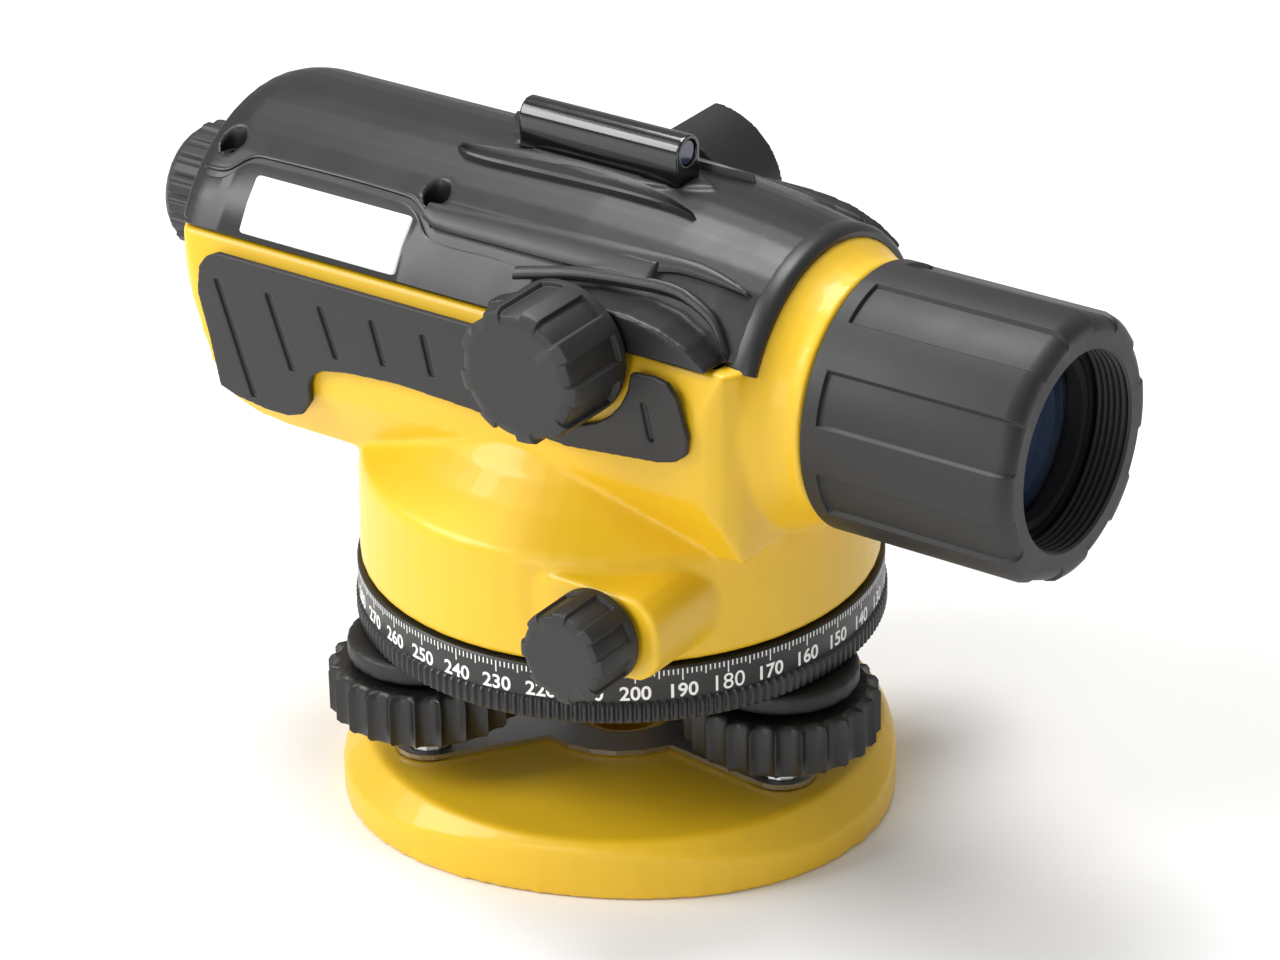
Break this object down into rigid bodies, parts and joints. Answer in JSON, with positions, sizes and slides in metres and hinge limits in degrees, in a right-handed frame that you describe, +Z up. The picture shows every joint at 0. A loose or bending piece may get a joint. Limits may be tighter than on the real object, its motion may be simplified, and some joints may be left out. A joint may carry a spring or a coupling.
{
  "type": "automatic level",
  "caption": "Surveyor's automatic level: a self-levelling telescope turning over a graduated horizontal circle on a levelling base with foot screws.",
  "frame": {"origin": "on the vertical axis at the underside of the base plate", "axes": "+X out of the objective along the line of sight, +Z up, -Y towards the focusing knob"},
  "size_m": [0.212, 0.1284, 0.1452],
  "materials": {
    "yellow_paint": "fine-textured satin paint",
    "black_plastic": "fine-textured satin",
    "black_paint": "satin black paint",
    "gloss_black": "glossy",
    "rubber": "matte",
    "steel": "turned",
    "brass": "turned",
    "aluminium": "anodised",
    "nylon": "natural",
    "label": "blank white label",
    "glass": "coated",
    "mirror": "silvered"
  },
  "bodies": {
    "base": {"base_plate": "yellow_paint", "spring_plate": "steel"},
    "levelling_head": {"levelling_head": "black_paint", "spindle_bush": "brass", "friction_washer": "rubber"},
    "foot_screw_1": {"foot_screw_1_knob": "black_plastic", "foot_screw_1_spindle": "steel"},
    "foot_screw_2": {"foot_screw_2_knob": "black_plastic", "foot_screw_2_spindle": "steel"},
    "foot_screw_3": {"foot_screw_3_knob": "black_plastic", "foot_screw_3_spindle": "steel"},
    "horizontal_circle": {"horizontal_circle": "black_plastic"},
    "alidade": {"lower_housing": "yellow_paint", "vertical_spindle": "steel", "spindle_nut": "steel", "top_cover": "black_plastic", "cover_screw_1": "steel", "cover_screw_2": "steel", "cover_screw_3": "steel", "cover_screw_4": "steel", "label_plate": "label", "right_grip": "rubber", "left_grip": "rubber", "peep_sight": "gloss_black", "peep_sight_lens": "glass", "vial_prism_hood": "black_plastic", "vial_mirror": "mirror", "vial_housing": "black_plastic", "circular_vial": "glass", "objective_barrel": "aluminium", "objective_lens": "glass", "objective_retaining_ring": "black_paint", "objective_hood": "rubber", "focusing_guide_tube": "aluminium", "focusing_bush": "brass", "compensator_frame": "aluminium", "compensator_damper": "brass", "fixed_prism_front": "glass", "fixed_prism_rear": "glass", "reticle_cell": "brass", "reticle_glass": "glass", "eyepiece_tube": "aluminium", "tangent_bush_right": "brass", "tangent_bush_left": "brass"},
    "worm_wheel": {"worm_wheel": "nylon"},
    "tangent_drive": {"tangent_shaft": "steel", "tangent_knob_right": "rubber", "tangent_knob_left": "rubber"},
    "focusing_knob": {"focusing_knob": "rubber", "focusing_pinion": "steel"},
    "focusing_lens": {"focusing_lens_cell": "aluminium", "focusing_lens": "glass", "focusing_rack": "steel"},
    "diopter": {"diopter_ring": "rubber"},
    "eyepiece": {"eyepiece_lens_cell": "black_paint", "eye_lens": "glass"},
    "pendulum": {"compensator_pendulum": "aluminium", "pendulum_prism": "glass", "suspension_ribbon_front": "steel", "suspension_ribbon_rear": "steel"}
  },
  "joints": [
    {"name": "foot_screw_1_turn", "type": "hinge", "parent": "base", "child": "foot_screw_1", "pos_m": [0.04195, -0.00463, 0.0136], "axis": [0, 0, 1], "range_deg": [-1800, 180]},
    {"name": "foot_screw_2_turn", "type": "hinge", "parent": "base", "child": "foot_screw_2", "pos_m": [-0.02498, -0.03401, 0.0136], "axis": [0, 0, 1], "range_deg": [-1800, 180]},
    {"name": "foot_screw_3_turn", "type": "hinge", "parent": "base", "child": "foot_screw_3", "pos_m": [-0.01696, 0.03864, 0.0136], "axis": [0, 0, 1], "range_deg": [-1800, 180]},
    {"name": "levelling_head_lift", "type": "slide", "parent": "base", "child": "levelling_head", "axis": [0, 0, 1], "range_m": [-0.0005, 0.005]},
    {"name": "circle_turn", "type": "hinge", "parent": "levelling_head", "child": "horizontal_circle", "pos_m": [0, 0, 0.041], "axis": [0, 0, 1], "continuous": true},
    {"name": "alidade_turn", "type": "hinge", "parent": "levelling_head", "child": "alidade", "pos_m": [0, 0, 0.045], "axis": [0, 0, 1], "continuous": true},
    {"name": "tangent_drive_turn", "type": "hinge", "parent": "alidade", "child": "tangent_drive", "pos_m": [0.0309, 0, 0.0631], "axis": [0, 1, 0], "continuous": true},
    {"name": "worm_wheel_turn", "type": "hinge", "parent": "alidade", "child": "worm_wheel", "pos_m": [0, 0, 0.0631], "axis": [0, 0, 1], "continuous": true},
    {"name": "focusing_knob_turn", "type": "hinge", "parent": "alidade", "child": "focusing_knob", "pos_m": [0.0138, 0, 0.1133], "axis": [0, 1, 0], "range_deg": [-160, 160]},
    {"name": "focusing_lens_slide", "type": "slide", "parent": "alidade", "child": "focusing_lens", "axis": [1, 0, 0], "range_m": [-0.01033, 0.01033]},
    {"name": "diopter_turn", "type": "hinge", "parent": "alidade", "child": "diopter", "pos_m": [-0.097, 0, 0.1066], "axis": [1, 0, 0], "range_deg": [-150, 150]},
    {"name": "eyepiece_slide", "type": "slide", "parent": "alidade", "child": "eyepiece", "axis": [1, 0, 0], "range_m": [-0.00149, 0.00149]},
    {"name": "compensator_swing", "type": "hinge", "parent": "alidade", "child": "pendulum", "pos_m": [-0.034, 0, 0.1187], "axis": [0, 1, 0], "range_deg": [-0.25, 0.25]}
  ],
  "couplings": [
    {"joint": "foot_screw_1_turn", "follows": "levelling_head_lift", "rad_per_m": -6283.2},
    {"joint": "foot_screw_2_turn", "follows": "levelling_head_lift", "rad_per_m": -6283.2},
    {"joint": "foot_screw_3_turn", "follows": "levelling_head_lift", "rad_per_m": -6283.2},
    {"joint": "worm_wheel_turn", "follows": "tangent_drive_turn", "ratio": 0.016667},
    {"joint": "focusing_knob_turn", "follows": "focusing_lens_slide", "rad_per_m": -270.27},
    {"joint": "diopter_turn", "follows": "eyepiece_slide", "rad_per_m": 1754.4}
  ]
}
